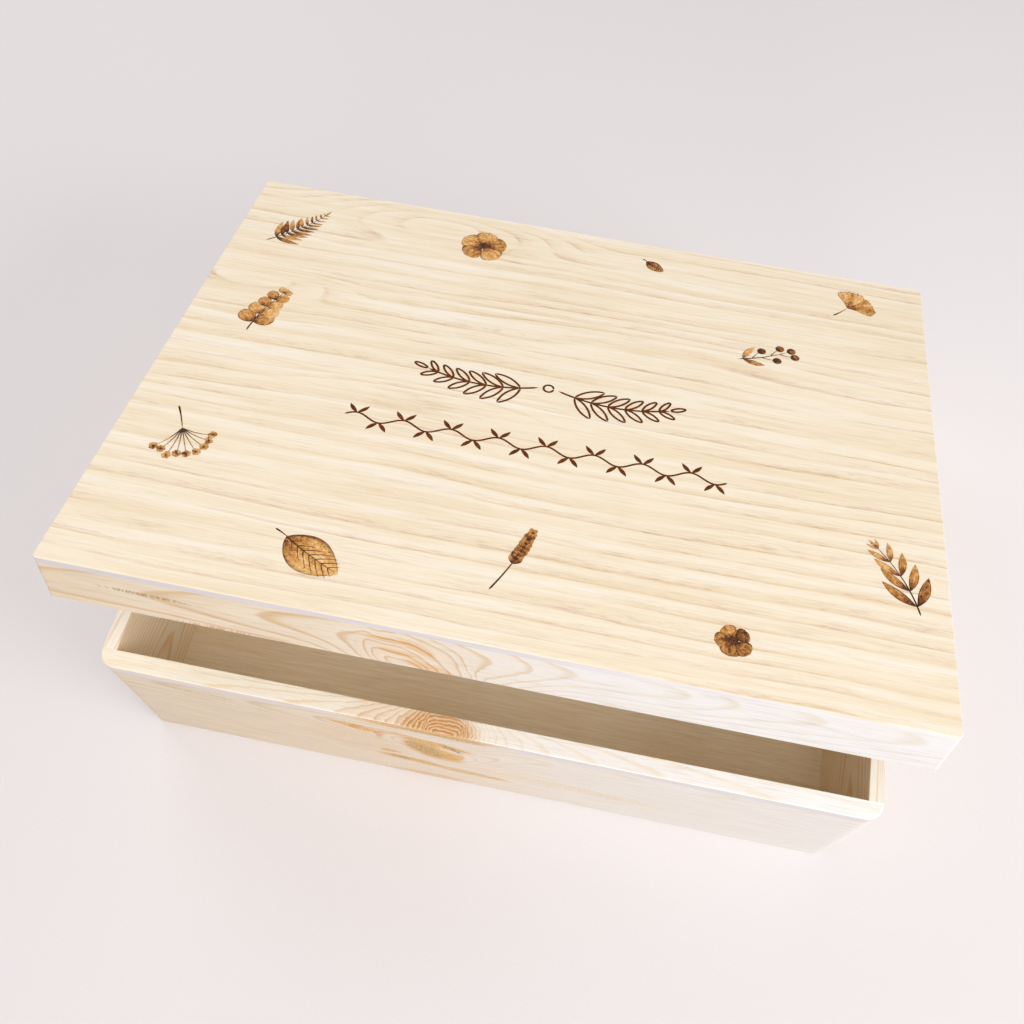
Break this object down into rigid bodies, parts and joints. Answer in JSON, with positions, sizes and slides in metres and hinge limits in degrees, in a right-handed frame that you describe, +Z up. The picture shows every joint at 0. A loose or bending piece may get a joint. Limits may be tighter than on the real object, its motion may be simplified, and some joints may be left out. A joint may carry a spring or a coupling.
{
  "type": "keepsake box",
  "caption": "Shallow rectangular pine box with a hinged lid that stands a little open, for papers and keepsakes.",
  "frame": {"origin": "middle of the underside, on the surface that the box stands on", "axes": "+X to the box's right, +Y to the back where the hinges are, +Z up; the lid's free edge faces -Y"},
  "size_m": [0.4, 0.307, 0.1999],
  "materials": {
    "pine": "planed and sanded, unfinished",
    "lid_veneered_sheet": "sanded plywood, fine straight grain",
    "bottom_plywood": "sanded plywood",
    "hinge_brass": "rolled strip, lightly polished",
    "pin_steel": "drawn wire",
    "screw_brass": "turned, slotted heads"
  },
  "bodies": {
    "box": {"body_front_board": "pine", "body_back_board": "pine", "body_left_board": "pine", "body_right_board": "pine", "body_bottom_panel": "bottom_plywood", "left_hinge_body_leaf": "hinge_brass", "left_hinge_pin": "pin_steel", "right_hinge_body_leaf": "hinge_brass", "right_hinge_pin": "pin_steel", "body_hinge_screws": "screw_brass"},
    "lid": {"lid_front_rail": "pine", "lid_back_rail": "pine", "lid_left_rail": "pine", "lid_right_rail": "pine", "lid_top_panel": "lid_veneered_sheet", "left_hinge_lid_leaf": "hinge_brass", "right_hinge_lid_leaf": "hinge_brass", "lid_hinge_screws": "screw_brass"}
  },
  "joints": [
    {"name": "lid_hinge", "type": "hinge", "parent": "box", "child": "lid", "pos_m": [0, 0.15205, 0.10015], "axis": [-1, 0, 0], "range_deg": [-13.5, 166.5]}
  ]
}
